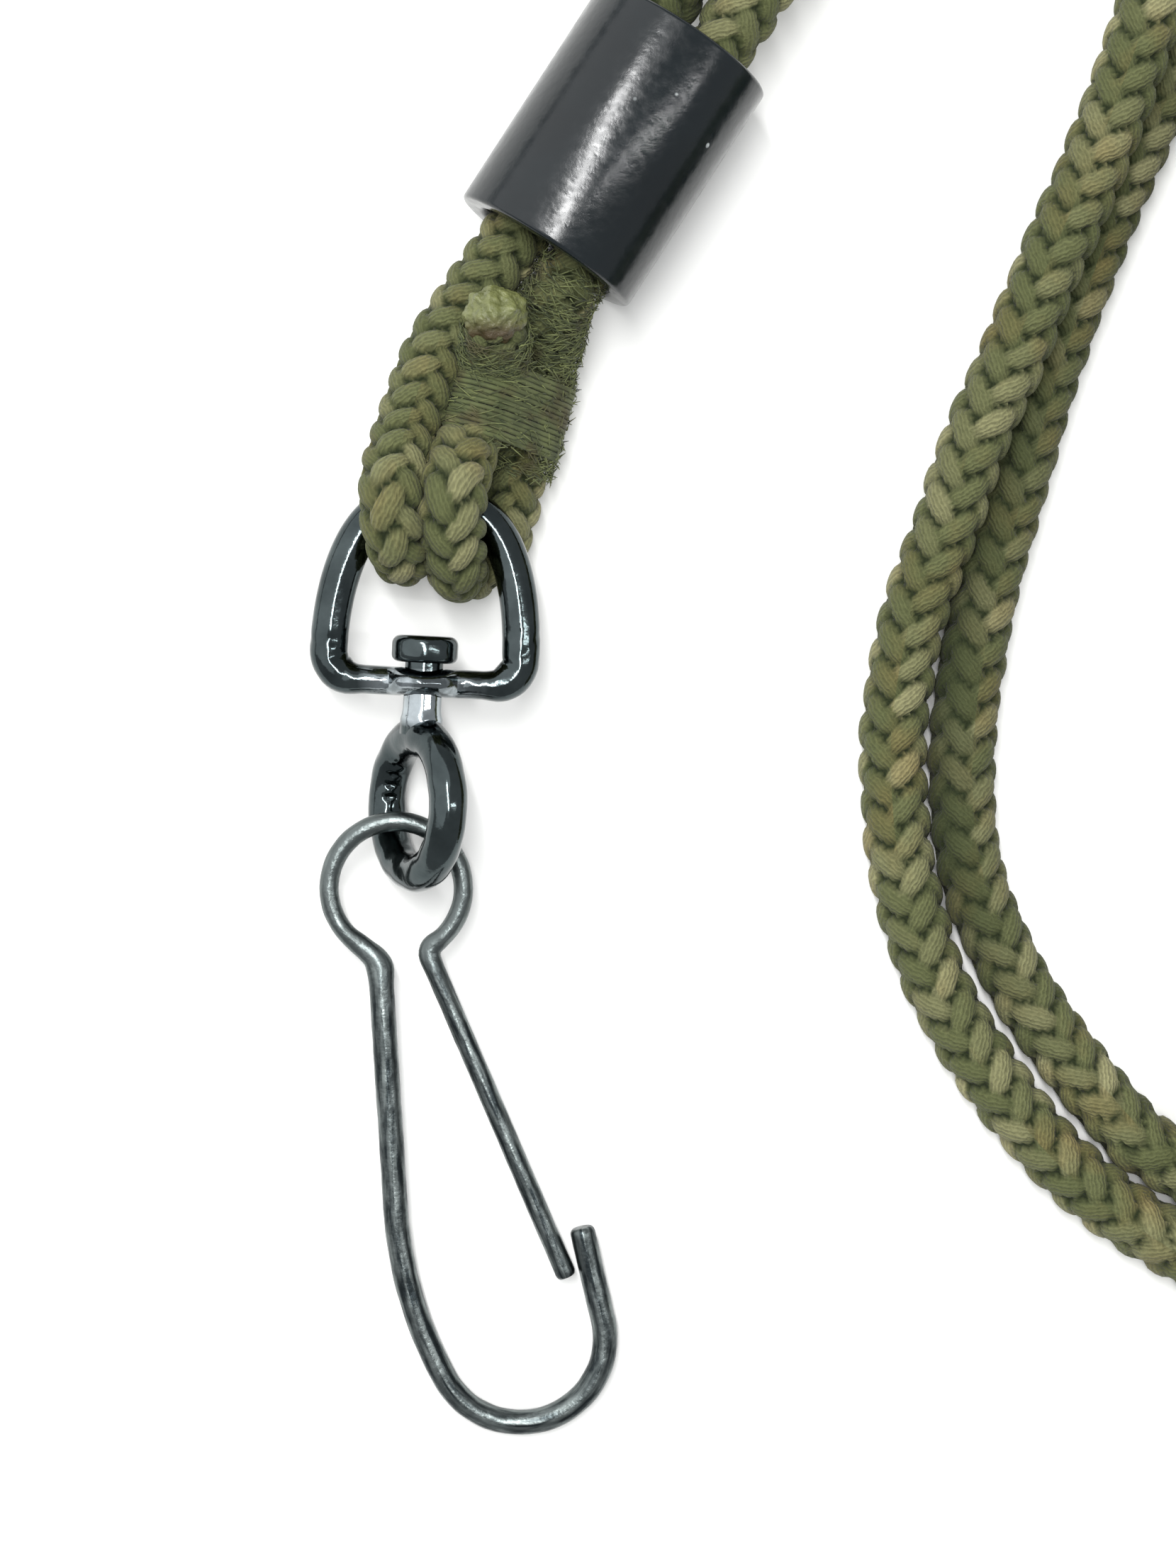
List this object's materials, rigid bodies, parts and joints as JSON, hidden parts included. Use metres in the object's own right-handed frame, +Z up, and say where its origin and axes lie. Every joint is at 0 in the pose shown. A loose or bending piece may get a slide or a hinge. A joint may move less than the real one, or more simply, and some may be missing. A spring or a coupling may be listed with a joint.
{
  "type": "lanyard",
  "caption": "Doubled braided cord lanyard with a sliding keeper sleeve, a D-ring, a swivel eye and a bent spring-wire clip, its spare cord tied in a hank.",
  "frame": {"origin": "on the table, under the middle of the hardware, the cord's two ends and the keeper sleeve", "axes": "+Y from the clip's hook towards the keeper sleeve, +Z up from the table, +X to the right, where the free cord and its hank lie"},
  "size_m": [0.1028, 0.1261, 0.0139],
  "materials": {
    "braid": "olive nylon, round braid",
    "thread": "olive waxed thread, frayed",
    "tape": "woven cotton tape",
    "plastic": "polished moulding, lightly scuffed",
    "blackened_steel": "blackened and oiled, worn bright on its edges",
    "spring_wire": "drawn spring wire, dark and streaked"
  },
  "bodies": {
    "cord": {"cord_end_left": "braid", "cord_end_right": "braid", "end_whipping": "thread", "free_cord_outer": "braid", "free_cord_inner": "braid", "cord_hank": "braid", "hank_tie": "tape"},
    "keeper": {"keeper_sleeve": "plastic"},
    "d_ring": {"d_ring": "blackened_steel"},
    "swivel": {"swivel_eye": "blackened_steel"},
    "clip": {"clip_wire": "spring_wire"},
    "gate": {"clip_gate": "spring_wire"}
  },
  "joints": [
    {"name": "keeper_slide", "type": "slide", "parent": "cord", "child": "keeper", "axis": [0.5439, 0.8391, 0], "range_m": [0, 0.015]},
    {"name": "d_ring_swing", "type": "hinge", "parent": "cord", "child": "d_ring", "pos_m": [-0.0073, 0.01462, 0.0067], "axis": [0.9986, -0.0523, 0], "range_deg": [-60, 8]},
    {"name": "swivel_spin", "type": "hinge", "parent": "d_ring", "child": "swivel", "pos_m": [-0.00795, 0.0022, 0.00605], "axis": [0.0523, 0.9973, 0.0523], "continuous": true},
    {"name": "clip_slew", "type": "hinge", "parent": "swivel", "child": "clip", "pos_m": [-0.01, -0.01245, 0.00362], "axis": [0, -0.0703, 0.9975], "range_deg": [-60, 40]},
    {"name": "gate_flex", "type": "hinge", "parent": "clip", "child": "gate", "pos_m": [-0.00757, -0.01753, 0.00326], "axis": [0, -0.0703, 0.9975], "range_deg": [-18, 0], "stiffness_Nm_per_rad": 0.05}
  ]
}
